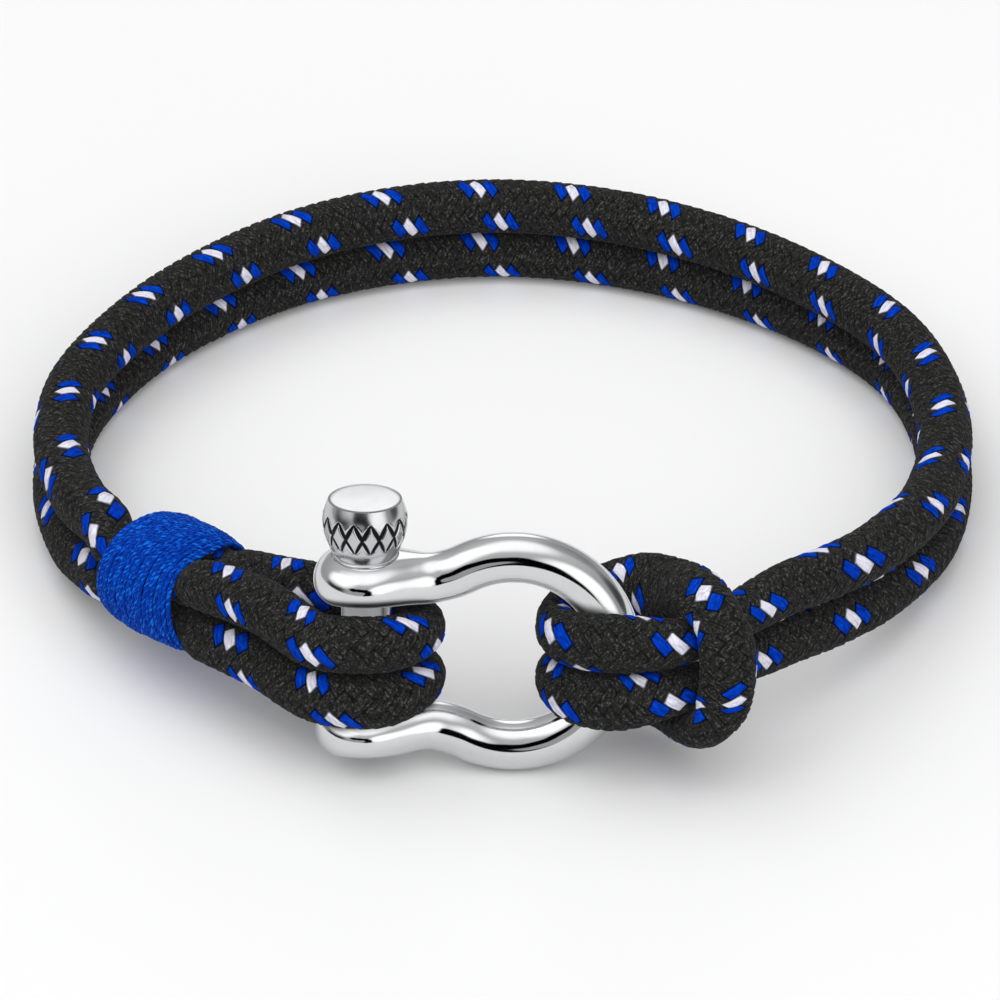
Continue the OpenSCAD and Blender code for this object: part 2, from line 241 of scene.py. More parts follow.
@dataclass(frozen=True)
class YarnFinish:
    """Spun yarn: streaks of fibre along it, with painted shade in the valleys, and loose fuzz that catches the
    light.

    Attributes:
        name: Name of the material.
        seam: Colour of the painted shade in the valleys between the yarns.
        deep: Colour between the fibres.
        body: Colour of most fibres.
        lit: Colour of the fibres that catch the light.
        roughness: Roughness of the fibres.
        sheen: Weight of the soft gloss of loose fibres.
        gloss: Specular level of the fibres.
        fibre: Fibres in a millimetre along the yarn and across it.
        specks: Specks of loose fibre in a metre.
        streaks: Share of the streaks along the yarn, beside the specks.
        crest: How much brighter the crests of the mesh are painted than its valleys, a painted highlight.
        deep_at: Grain where the deep colour gives way to the body's.
        lit_at: Grain where the body's colour gives way to the lit one.
        seam_at: Height over the valleys where their colour gives way to the yarn's.
        ragged: How much slow noise breaks up the dark line of the valleys.
        blotches: Scale of that noise, in a metre.
        blotch_middle: Value of that noise that leaves the line as it is.
        crest_middle: Height that the crests' painted highlight is counted from.
        relief: Depth of the fibres, in millimetres.
        bump: Strength of that depth in the shading.
        sheen_rough: Roughness of the fibres' gloss.
    """

    name: str
    seam: Colour
    deep: Colour
    body: Colour
    lit: Colour
    roughness: float = 0.9
    sheen: float = 0.02
    gloss: float = 0.08
    fibre: tuple[float, float] = (2.0, 5.2)
    specks: float = 5600.0
    streaks: float = 0.55
    crest: float = 0.0
    deep_at: tuple[float, float] = (0.40, 0.50)
    lit_at: tuple[float, float] = (0.52, 0.64)
    seam_at: tuple[float, float] = (0.0, 0.3)
    ragged: float = 0.45
    blotches: float = 1300.0
    blotch_middle: float = 0.4
    crest_middle: float = 0.5
    relief: float = 0.12
    bump: float = 0.9
    sheen_rough: float = 0.45

    def material(self) -> bpy.types.Material:
        """Makes the material. The corner coordinates run along and across each yarn, in millimetres."""
        material = bpy.data.materials.new(self.name)
        bench = Bench(material)
        follow = bench.node("ShaderNodeUVMap", {}, uv_map="follow").outputs[0]
        place = bench.node("ShaderNodeTexCoord", {}).outputs["Object"]
        height = bench.node("ShaderNodeAttribute", {}, attribute_name="height").outputs["Fac"]
        fibres = bench.noise(bench.stretched(follow, (*self.fibre, 1.0)), 1.0, FINE)
        fluff = bench.noise(place, self.specks)
        streaks = bench.math("MULTIPLY", fibres, self.streaks)
        grain = bench.math("ADD", streaks, bench.math("MULTIPLY", fluff, 1.0 - self.streaks))
        # Painted highlight: the crests of the mesh are painted lighter by crest
        grain = bench.math("MULTIPLY_ADD", bench.math("SUBTRACT", height, self.crest_middle), self.crest, grain)
        colour = bench.mix(bench.between(grain, *self.lit_at), opaque(self.body), opaque(self.lit))
        colour = bench.mix(bench.between(grain, *self.deep_at), opaque(self.deep), colour)
        # Painted shade: the valleys between the yarns take the seam colour, broken up by slow noise
        slow = bench.math("SUBTRACT", bench.noise(place, self.blotches), self.blotch_middle)
        edge = bench.math("MULTIPLY_ADD", slow, self.ragged, height)
        colour = bench.mix(bench.between(edge, *self.seam_at), opaque(self.seam), colour)
        relief = {"Height": grain, "Strength": self.bump, "Distance": self.relief * MM}
        inputs = {
            "Base Color": colour,
            "Normal": bench.node("ShaderNodeBump", relief).outputs[0],
            "Roughness": self.roughness,
            "Specular IOR Level": self.gloss,
            "Sheen Weight": self.sheen,
            "Sheen Roughness": self.sheen_rough,
        }
        bench.feed(bench.shader, inputs)
        return material


@dataclass(frozen=True)
class SteelFinish:
    """Polished steel with faint wipe marks, darkened where the mesh says so: blackening in the pin's crosses, and
    painted shade and a painted reflection elsewhere.

    Attributes:
        name: Name of the material.
        mask: Name of the mesh's attribute that holds how dark each point is.
        edge: Numbers of the attribute between which the steel turns dark.
        matt: Roughness that the dark places have beyond the polish.
        colour: Colour of the bare steel.
        roughness: Roughness of the polish.
        black: Colour of the dark places, blackened ones and painted shade alike.
        wipe: Scale of the wipe marks, in a metre.
        wipe_stretch: Stretch of that scale along x, y and z.
        wipe_rough: Roughness that the marks add at most, and how much less the polish has without them.
        wipe_at: Values of the marks between which the steel gets duller.
        wipe_dull: Share of the colour that is left there.
    """

    name: str
    mask: str
    edge: tuple[float, float]
    matt: float
    colour: Colour = (0.66, 0.67, 0.68)
    roughness: float = 0.07
    black: Colour = (0.012, 0.012, 0.013)
    wipe: float = 700.0
    wipe_stretch: tuple[float, float, float] = (1.0, 1.0, 0.3)
    wipe_rough: tuple[float, float] = (0.05, 0.02)
    wipe_at: tuple[float, float] = (0.3, 0.75)
    wipe_dull: float = 0.96

    def material(self) -> bpy.types.Material:
        """Makes the material."""
        material = bpy.data.materials.new(self.name)
        bench = Bench(material)
        place = bench.node("ShaderNodeTexCoord", {}).outputs["Object"]
        wiped = bench.noise(bench.stretched(place, self.wipe_stretch), self.wipe, FINE)
        most, less = self.wipe_rough
        rough = bench.math("MULTIPLY_ADD", wiped, most, self.roughness - less)
        dull = bench.between(wiped, *self.wipe_at)
        colour = bench.mix(dull, opaque(self.colour), opaque(self.colour, self.wipe_dull))
        # The mask holds blackening and painted shade, which both take the black colour
        mask = bench.node("ShaderNodeAttribute", {}, attribute_name=self.mask).outputs["Fac"]
        dark = bench.between(mask, *self.edge)
        inputs = {
            "Metallic": 1.0,
            "Base Color": bench.mix(dark, colour, opaque(self.black)),
            "Roughness": bench.math("MULTIPLY_ADD", dark, self.matt, rough),
        }
        bench.feed(bench.shader, inputs)
        return material


@dataclass(frozen=True)
class FloorFinish:
    """Matt white board with a faint mottle."""

    name: str = "pale_board"
    colour: Colour = (0.82, 0.82, 0.82)
    roughness: float = 0.6
    gloss: float = 0.2
    # Scale of the mottle in a metre, its roughness, and the share of the colour that is left in it
    mottle: float = 30.0
    mottle_rough: float = 0.5
    mottle_dull: float = 0.985

    def material(self) -> bpy.types.Material:
        """Makes the material."""
        material = bpy.data.materials.new(self.name)
        bench = Bench(material)
        place = bench.node("ShaderNodeTexCoord", {}).outputs["Object"]
        mottle = bench.noise(place, self.mottle, rough=self.mottle_rough)
        colour = bench.mix(mottle, opaque(self.colour), opaque(self.colour, self.mottle_dull))
        inputs = {"Base Color": colour, "Roughness": self.roughness, "Specular IOR Level": self.gloss}
        bench.feed(bench.shader, inputs)
        return material


@dataclass(frozen=True)
class ClaspFrame:
    """Frame of the clasp: x to the right, v to the back and w up, leaning to the back at its top.

    Attributes:
        middle: The pin's axis at half the height of the jaw.
        lean: Lean of the top, in degrees.
    """

    middle: tuple[float, float, float] = (-10.845, -30.01, 9.88)
    lean: float = 12.4

    @property
    def axes(self) -> np.ndarray:
        """Rows x, v and w in the world."""
        c, s = math.cos(math.radians(self.lean)), math.sin(math.radians(self.lean))
        return np.array([[1.0, 0.0, 0.0], [0.0, c, -s], [0.0, s, c]])

    def directions(self, local: np.ndarray) -> np.ndarray:
        """World directions of vectors x, v, w."""
        return local @ self.axes

    def points(self, local: np.ndarray) -> np.ndarray:
        """World points of places x, v, w."""
        return np.array(self.middle) + local @ self.axes


@dataclass(frozen=True)
class CordLine:
    """The cord's middle line, cut into short steps.

    Attributes:
        along: Length from the upper cut end.
        middle: Points of the line.
        thin: Unit directions across the cord, on its thin side.
        broad: Unit directions across the cord, on its broad side.
        half_thin: Half sizes along thin.
        half_broad: Half sizes along broad.
    """

    along: np.ndarray
    middle: np.ndarray
    thin: np.ndarray
    broad: np.ndarray
    half_thin: np.ndarray
    half_broad: np.ndarray

    def columns(self, at: np.ndarray) -> tuple[np.ndarray, ...]:
        """Every column of the line at given lengths.

        Args:
            at: Lengths from the upper cut end, of any shape.

        Returns:
            Middle, thin, broad, half_thin and half_broad there, by linear steps between the line's points.
        """

        def lookup(column: np.ndarray) -> np.ndarray:
            """One column, of numbers or of vectors."""
            if column.ndim == 1:
                return np.interp(at, self.along, column)
            return np.stack([np.interp(at, self.along, column[:, i]) for i in range(3)], -1)

        return tuple(lookup(c) for c in (self.middle, self.thin, self.broad, self.half_thin, self.half_broad))

    def shade(self, points: np.ndarray, near: float | np.ndarray, far: float | np.ndarray) -> np.ndarray:
        """How dark a polish is painted from the cord that lies close to it: painted shade that stands in for the
        dark cord's reflection, which the polish doesn't show.

        The gap is the distance d from the cord's nearest middle point, without its part along the cord, less the
        radius of the cord's oval in that direction: d - d / hypot(t / half_thin, b / half_broad).

        Args:
            points: Places in millimetres.
            near: Gap up to which the painted shade is 1, for all places or for each.
            far: Gap from which the painted shade is 0, for all places or for each.

        Returns:
            The painted shade of each place.
        """
        square = (self.middle**2).sum(-1) - 2 * points @ self.middle.T
        nearest = square.argmin(-1)
        offset = points - self.middle[nearest]
        t = (offset * self.thin[nearest]).sum(-1)
        b = (offset * self.broad[nearest]).sum(-1)
        gap = np.hypot(t, b) * (1 - 1 / np.hypot(t / self.half_thin[nearest], b / self.half_broad[nearest]))
        return 1 - ease((gap - near) / (far - near))


@dataclass(frozen=True)
class CordRoute:
    """Route of the doubled cord, as in the solid: rows of given points.

    A row of the doubled cord holds x, y, z, the lean of the upper strand towards the inside in degrees, the
    distance between the two strands as a share of the cord's diameter, and the half thickness and half height of
    each strand as shares of its radius.
    """

    diameter: float = 4.4
    clasp: ClaspFrame = ClaspFrame()
    place: tuple[float, float, float] = (-0.045, 3.89, -0.02)
    eye_r: float = 4.25
    bind_at: tuple[float, float, float] = (-25.9, -21.7, 8.0)
    bind_dir: tuple[float, float, float] = (0.63, -0.76, 0.18)
    bind_half: float = 4.2
    mouth: float = 0.4
    tail: float = 0.6
    tail_aside: float = 2.2
    bind_aside: float = 1.85
    # Distance to the front at which the strands begin to lean to the back, and over which they come to it fully
    front_from: float = 18.0
    front_over: float = 8.0
    # Place along y of the loop's middle, which they lean to elsewhere
    loop_y: float = -2.0
    # Lean, distance apart, half thickness and half height inside the binding
    bound: tuple[float, ...] = (6, 0.71, 0.80, 0.66)
    inner_leg: tuple[tuple[float, ...], ...] = (
        (-21.3, -24.4, 9.0, 7, 0.75, 0.83, 0.71),
        (-20.3, -25.2, 8.9, 7, 0.93, 0.90, 0.88),
        (-17.6, -27.0, 9.2, 8, 1.00, 0.98, 0.95),
        (-14.6, -29.0, 9.9, 10, 1.01, 0.97, 0.96),
    )
    # Angle round the pin in degrees and rise, then the same columns
    eye: tuple[tuple[float, ...], ...] = (
        (85, 0.2, 12.4, 0.98, 0.97, 0.92),
        (45, 0.0, 12.4, 0.94, 0.97, 0.88),
        (10, 0.0, 12.4, 0.94, 0.97, 0.88),
        (-25, 0.0, 12.4, 0.97, 0.97, 0.90),
        (-60, 0.0, 12.4, 1.06, 0.97, 1.01),
        (-95, 0.0, 12.4, 1.09, 0.97, 1.04),
    )
    outer_leg: tuple[tuple[float, ...], ...] = (
        (-14.8, -36.4, 10.2, 11, 1.07, 1.00, 1.03),
        (-18.4, -32.7, 10.3, 9, 1.13, 1.00, 1.00),
        (-21.3, -29.9, 9.9, 7, 1.10, 0.98, 0.99),
        (-23.5, -27.8, 9.4, 6, 1.03, 0.91, 0.97),
        (-24.2, -26.8, 9.1, 6, 0.80, 0.84, 0.75),
    )
    band: tuple[tuple[float, ...], ...] = (
        (-31.1, -18.2, 6.9, 6, 0.80, 0.84, 0.76),
        (-31.9, -15.1, 6.4, 7, 1.01, 0.98, 0.96),
        (-34.0, -10.0, 5.3, 5, 1.01, 1.00, 0.98),
        (-35.4, -2.0, 4.5, 1, 1.01, 1.00, 0.98),
        (-34.6, 6.5, 4.4, 4, 1.01, 1.00, 0.98),
        (-31.0, 14.0, 4.4, 8, 1.01, 1.00, 0.98),
        (-25.6, 20.7, 4.4, 8, 1.01, 1.00, 0.98),
        (-17.8, 26.8, 4.4, 4, 1.01, 1.00, 0.98),
        (-9.2, 30.4, 4.4, 1, 1.01, 1.00, 0.98),
        (0.0, 31.6, 4.4, 1, 1.01, 1.00, 0.98),
        (9.4, 30.1, 4.4, 2, 1.01, 1.00, 0.98),
        (18.3, 26.3, 4.4, 5, 1.01, 1.00, 0.98),
        (26.0, 20.8, 4.4, 9, 1.01, 1.00, 0.98),
        (31.8, 14.2, 4.4, 8, 1.01, 1.00, 0.98),
        (34.8, 6.5, 4.4, 4, 1.01, 1.00, 0.98),
        (35.5, -2.0, 4.5, 0, 1.01, 1.00, 0.98),
        (33.9, -10.8, 5.3, 2, 1.01, 1.00, 0.97),
        (30.0, -18.6, 6.6, 4, 1.01, 1.00, 0.97),
        (26.2, -23.6, 7.8, 7, 1.01, 1.00, 0.97),
        (22.8, -27.2, 8.8, 9, 1.01, 0.98, 0.97),
        (20.4, -30.0, 9.4, 11, 0.96, 0.96, 0.90),
        (18.2, -32.6, 9.9, 12, 0.87, 0.92, 0.80),
        (16.0, -34.9, 10.3, 12, 0.81, 0.90, 0.74),
        (13.4, -37.1, 10.7, 12, 0.94, 0.93, 0.88),
    )
    # Hitch in the clasp's frame: x, v, w, broad direction, half sizes on the thin and the broad side
    hitch: tuple[tuple[float, ...], ...] = (
        (20.0, -4.2, 2.5, 0, 0, 1, 0.93, 1.08),
        (16.4, -3.1, 2.4, 0, 0, 1, 0.86, 1.02),
        (15.1, 0.0, 2.2, 0, 0, 1, 0.77, 0.96),
        (16.4, 3.1, 2.6, 0, 0, 1, 0.86, 0.98),
        (19.3, 4.2, 3.5, 0, 0, 1, 0.92, 1.00),
        (21.8, 3.9, 3.9, 0, 1, 4, 0.86, 1.20),
        (24.1, 1.7, 4.6, 2, 2, 3, 0.86, 1.21),
        (26.1, -1.4, 5.5, 2, 2, 1, 0.76, 1.10),
        (27.8, -3.8, 4.5, 2, 2, 0, 0.77, 1.05),
        (28.6, -5.2, 2.0, 3, 1, 0, 0.86, 1.05),
        (28.4, -5.3, -1.6, 3, 1, 0, 0.86, 1.04),
        (27.4, -4.8, -4.2, 2, 2, 0, 0.73, 1.02),
        (25.8, -2.1, -5.6, 2, 2, -1, 0.73, 1.06),
        (24.1, 1.2, -5.6, 2, 2, -3, 0.84, 1.06),
        (21.8, 3.6, -5.0, 0, 1, -4, 0.90, 1.02),
        (19.3, 4.3, -4.0, 0, 0, -1, 0.92, 1.00),
        (16.4, 3.1, -2.9, 0, 0, -1, 0.86, 0.98),
        (15.1, 0.0, -2.2, 0, 0, -1, 0.77, 0.96),
        (16.4, -3.1, -2.4, 0, 0, -1, 0.86, 1.02),
        (20.0, -4.2, -2.5, 0, 0, -1, 0.93, 1.08),
    )
    steps: int = 24

    @property
    def bind_axes(self) -> np.ndarray:
        """Rows along, to the side of, and up from the strands in the binding."""
        along = unit(np.array(self.bind_dir))
        side = unit(np.cross([0.0, 0.0, 1.0], along))
        return np.array([along, side, np.cross(along, side)])

    def bound_rows(self, places: list[tuple[float, float]]) -> np.ndarray:
        """Rows of the doubled cord inside the binding.

        Args:
            places: Distance along the binding from its middle, and to its side.

        Returns:
            A row for each place, before the model's place is added.
        """
        local = np.array([(s, aside, 0.0) for s, aside in places])
        middle = np.array(self.bind_at) + local @ self.bind_axes
        return np.hstack([middle, np.tile(self.bound, (len(places), 1))])

    def doubled(self) -> np.ndarray:
        """Rows of the doubled cord, from the cut ends over the eye on the pin to the hitch."""
        half, mouth = self.bind_half, self.bind_half + self.mouth
        inner = [(-mouth - self.tail, self.tail_aside)]
        inner += [(s, self.bind_aside) for s in (-mouth, -half / 2, half / 2, mouth)]
        outer = [(s, -self.bind_aside) for s in (mouth, half / 2, -half / 2, -mouth)]
        eye = np.array(self.eye)
        turn = np.radians(eye[:, 0])
        ring = np.stack([self.eye_r * np.cos(turn), self.eye_r * np.sin(turn), eye[:, 1]], -1)
        eye = np.hstack([self.clasp.points(ring) - np.array(self.place), eye[:, 2:]])
        return np.vstack(
            [self.bound_rows(inner), self.inner_leg, eye, self.outer_leg, self.bound_rows(outer), self.band]
        )

    def strand(self, rows: np.ndarray, side: int) -> np.ndarray:
        """Rows of one strand of the doubled cord.

        The strand is shifted from the doubled cord's middle by side times half the distance apart, along a
        direction that leans from straight up towards the inside of the loop. Inside means the loop's middle, and
        near the clasp the back.

        Args:
            rows: Rows of the doubled cord.
            side: 1 for the upper strand and -1 for the lower one.

        Returns:
            Rows of x, y, z, broad direction, thin and broad half sizes.
        """
        front = np.clip((-rows[:, 1] - self.front_from) / self.front_over, 0.0, 1.0)[:, None]
        centre = unit(np.stack([-rows[:, 0], self.loop_y - rows[:, 1], np.zeros(len(rows))], -1))
        inward = unit((1 - front) * centre + front * np.array([0.0, 1.0, 0.0]))
        lean = np.radians(rows[:, 3:4])
        stack = inward * np.sin(lean) + np.array([0.0, 0.0, 1.0]) * np.cos(lean)
        shift = side * rows[:, 4:5] * self.diameter / 2 * stack
        return np.hstack([rows[:, :3] + shift + np.array(self.place), side * stack, rows[:, 5:7]])

    def rows(self) -> np.ndarray:
        """Rows of the whole cord: upper strand, hitch, lower strand backwards."""
        doubled = self.doubled()
        hitch = np.array(self.hitch)
        middle = self.clasp.points(hitch[:, :3])
        broad = unit(self.clasp.directions(hitch[:, 3:6]))
        return np.vstack(
            [self.strand(doubled, 1), np.hstack([middle, broad, hitch[:, 6:8]]), self.strand(doubled, -1)[::-1]]
        )

    def line(self) -> CordLine:
        """The middle line as a uniform Catmull-Rom curve through the rows, all columns at once.

        Between rows p1 and p2 the curve is half of 2 p1 + (p2 - p0) t + (2 p0 - 5 p1 + 4 p2 - p3) t^2
        + (3 p1 - p0 - 3 p2 + p3) t^3. The broad direction is made square to the line, and thin is square to both.
        """
        rows = self.rows()
        padded = np.vstack([2 * rows[:1] - rows[1:2], rows, 2 * rows[-1:] - rows[-2:-1]])
        p0, p1, p2, p3 = (padded[i : len(padded) - 3 + i, None] for i in range(4))
        t = np.linspace(0.0, 1.0, self.steps, endpoint=False)[None, :, None]
        curve = 0.5 * (
            2 * p1
            + (p2 - p0) * t
            + (2 * p0 - 5 * p1 + 4 * p2 - p3) * t**2
            + (3 * p1 - p0 - 3 * p2 + p3) * t**3
        )
        curve = np.vstack([curve.reshape(-1, rows.shape[1]), rows[-1:]])
        middle = curve[:, :3]
        ahead = tangents(middle)
        broad = curve[:, 3:6]
        broad = unit(broad - (broad * ahead).sum(-1, keepdims=True) * ahead)
        along = np.concatenate([[0.0], np.cumsum(np.linalg.norm(np.diff(middle, axis=0), axis=-1))])
        radius = self.diameter / 2
        return CordLine(along, middle, np.cross(ahead, broad), broad, radius * curve[:, 6], radius * curve[:, 7])


@dataclass
class BraidedCord:
    """The cord: 16 yarns, 8 each way, each over two and under two others.

    Positions on the braid are counted in yarns: a across the yarns of one way and b across those of the other. The
    sum of both runs along the cord, 16 for each repeat, and their difference runs round it, 16 for each turn.
    """

    route: CordRoute
    yarns: int = 16
    seed: int = 11
    repeat: float = 7.7
    relief: float = 0.12
    shrink: float = 0.66
    rough: float = 0.012
    cap: float = 2.1
    dome: float = 0.5
    # Size of a yarn's step along it and of its width, in millimetres, for the corner coordinates
    yarn_step: float = 0.99
    yarn_width: float = 0.84
    # Shifts of the corner coordinates from yarn to yarn, so that no two look alike
    shuffle: tuple[float, float, float] = (13.7, 3.7, 0.37)
    # Where the grid cuts each yarn across, as shares of its width
    cuts: tuple[float, ...] = (0.0, 0.2, 0.8)
    # Length along the cord, repeats of the braid up to there, and turn of the braid in degrees
    stations: tuple[tuple[float, float, float], ...] = (
        (0, 0.3, 90), (16.0, 2.22, 96), (32.7, 4.2, 127), (41.5, 5.2, 107), (47.5, 5.95, 106), (49.5, 6.2, 101),
        (65.5, 7.95, 74), (69.5, 8.25, 95), (76.2, 8.95, 82), (79.2, 9.2, 90), (87.2, 10.2, 96),
        (102, 12.2, 108), (118, 14.2, 101), (134, 16.2, 95), (149.5, 18.2, 103), (157.5, 19.2, 107),
        (172.5, 21.2, 110), (187, 23.2, 100), (195, 24.2, 80), (203, 25.2, 60), (215.5, 26.2, 85),
        (224, 26.95, 83), (235.5, 28.2, 80), (242, 28.95, 77), (252.5, 30.2, 58), (260.9, 31.2, 92),
        (262.6, 31.45, 84), (270.6, 32.47, 107), (271.7, 32.72, 100), (295.5, 35.7, 80), (303, 36.7, 82),
        (305.2, 36.95, 98), (314, 37.95, 110), (325, 38.95, 120), (345, 40.95, 145), (365, 43.45, 117),
        (404, 48.45, 127), (444, 53.45, 125), (463, 55.95, 142), (472.5, 56.95, 145), (476, 57.2, 165),
        (492.5, 58.95, 153), (495, 59.2, 164), (501.5, 59.95, 157), (510, 60.95, 157), (542, 64.9, 150),
    )
    black: YarnFinish = YarnFinish(
        "black_yarn", (0.004, 0.004, 0.004), (0.006, 0.006, 0.006), (0.0175, 0.017, 0.0165), (0.076, 0.074, 0.072)
    )
    blue: YarnFinish = YarnFinish(
        "blue_yarn", (0.001, 0.003, 0.02), (0.0004, 0.020, 0.24), (0.0006, 0.036, 0.40), (0.001, 0.060, 0.52),
        sheen=0.0, gloss=0.03, fibre=(1.0, 5.0), streaks=0.8, seam_at=(0.1, 0.5), ragged=0.2, relief=0.03,
    )
    white: YarnFinish = YarnFinish(
        "white_yarn", (0.05, 0.05, 0.07), (0.52, 0.51, 0.60), (0.66, 0.65, 0.74), (0.78, 0.78, 0.86),
        sheen=0.0, gloss=0.05, fibre=(1.0, 5.0), streaks=0.9, seam_at=(0.1, 0.5), ragged=0.2, relief=0.02,
    )

    def surface(self) -> Surface:
        """The braid as one closed surface on a grid that follows both ways of yarns.

        A point lies at repeats (a + b) / yarns along the cord and at the angle turn - 2 pi (b - a) / yarns round
        it. Its height over the valleys is the crown of the upper yarn's section, 1 - (2 f - 1)^4 across it, times
        the square root of sin(pi g) along its float over two others. Beyond each end the radius falls to nothing.
        """
        line = self.route.line()
        total = line.along[-1]
        stations = np.array(self.stations)
        one_way, period = self.yarns // 2, 4
        first = -one_way - math.ceil(self.yarns * self.cap / self.repeat) - period
        last = math.ceil(self.yarns * stations[-1, 1]) - first
        cuts = np.array(self.cuts)
        n = len(cuts)
        way_a = (np.arange(one_way)[:, None] + cuts).ravel()
        way_b = (np.arange(first, last)[:, None] + cuts).ravel()
        a, b = np.meshgrid(way_a, way_b, indexing="ij")
        k, m = np.meshgrid(np.arange(one_way).repeat(n), np.arange(first, last).repeat(n), indexing="ij")
        step = (m - k) % period
        a_on_top = step < 2
        across = np.where(a_on_top, a - k, b - m)
        travel = np.where(a_on_top, step + b - m, 3 - step + a - k) / 2
        height = (1 - (2 * across - 1) ** 4) * np.sqrt(np.sin(math.pi * travel))

        repeats = (a + b) / self.yarns
        where = np.interp(repeats, stations[:, 1], stations[:, 0] * total / stations[-1, 0])
        where = np.where(repeats < stations[0, 1], (repeats - stations[0, 1]) * self.repeat, where)
        where = np.where(repeats > stations[-1, 1], total + (repeats - stations[-1, 1]) * self.repeat, where)
        turn = np.radians(np.interp(repeats, stations[:, 1], stations[:, 2]))
        held = np.clip(where, 0.0, total)
        beyond = where - held
        left = np.clip(1.0 - np.abs(beyond) / self.cap, 0.0, 1.0)
        angle = turn - 2 * math.pi * (b - a) / self.yarns
        middle, thin, broad, half_thin, half_broad = line.columns(held)
        noise = np.random.default_rng(self.seed).normal(0.0, self.rough, height.shape)
        lift = self.relief * (height - self.shrink) + noise
        out = np.sign(beyond) * self.dome * np.sqrt(1 - left**2)
        ahead = np.cross(broad, thin)
        points = (
            middle
            + ((half_thin + lift) * left * np.cos(angle))[..., None] * thin
            + ((half_broad + lift) * left * np.sin(angle))[..., None] * broad
            + out[..., None] * ahead
        )
        return self.faces(points, height, a, b, k, m, a_on_top, beyond)

    def faces(
        self,
        points: np.ndarray,
        height: np.ndarray,
        a: np.ndarray,
        b: np.ndarray,
        k: np.ndarray,
        m: np.ndarray,
        a_on_top: np.ndarray,
        beyond: np.ndarray,
    ) -> Surface:
        """Joins the grid's points into the closed tube.

        The row after the last one is the first row, half the yarns further along b. Faces that lie wholly beyond
        an end's middle are left out.

        Args:
            points: Points of the grid.
            height: Height of each point over the valleys.
            a: Position of each point across the yarns of the one way.
            b: Position of each point across the yarns of the other way.
            k: Number of the yarn of the one way at each point.
            m: Number of the yarn of the other way at each point.
            a_on_top: Whether the yarn of the one way is on top in the cell after each point.
            beyond: Length of each point beyond an end of the cord.

        Returns:
            The surface, with corner coordinates along and across the yarn on top.
        """
        one_way = self.yarns // 2
        rows, columns = a.shape
        shift = one_way * len(self.cuts)
        row, column = np.meshgrid(np.arange(rows), np.arange(columns - 1 - shift), indexing="ij")
        after = (row + 1) % rows
        wraps = row + 1 == rows
        jump = np.where(wraps, shift, 0)
        corners = ((row, column), (row, column + 1), (after, column + jump + 1), (after, column + jump))
        quads = np.stack([r * columns + c for r, c in corners], -1)
        lap = one_way * np.stack([0 * wraps, 0 * wraps, wraps, wraps], -1)
        corner_a = np.stack([a[r, c] for r, c in corners], -1) + lap
        corner_b = np.stack([b[r, c] for r, c in corners], -1) - lap
        yarn_a, yarn_b, top = k[row, column], m[row, column], a_on_top[row, column]
        numbers = (yarn_a, yarn_b, yarn_b)
        shift_a, shift_b, shift_across = (s * y[..., None] for s, y in zip(self.shuffle, numbers))
        along = np.where(top[..., None], corner_b + shift_a, corner_a + shift_b)
        across = np.where(top[..., None], corner_a - yarn_a[..., None], corner_b - yarn_b[..., None])
        uv = np.stack([along * self.yarn_step, across * self.yarn_width + shift_across], -1)
        colour = np.where(top, np.select([yarn_a == 0, yarn_a == 1, yarn_a == 2], [1, 2, 1], 0), 0)
        kept = np.abs(np.stack([beyond[r, c] for r, c in corners], -1)).min(-1) < self.cap
        return Surface(points.reshape(-1, 3), quads[kept], uv[kept], colour[kept], {"height": height.ravel()})

    def build(self) -> bpy.types.Object:
        """Builds the cord, dresses it and lets it stand for its solid."""
        piece = self.surface().to_object("braided_yarns")
        for finish in (self.black, self.blue, self.white):
            piece.data.materials.append(finish.material())
        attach(piece, Body.ROOT.value)
        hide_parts("braided_cord")
        piece.visible_glossy = False
        return piece


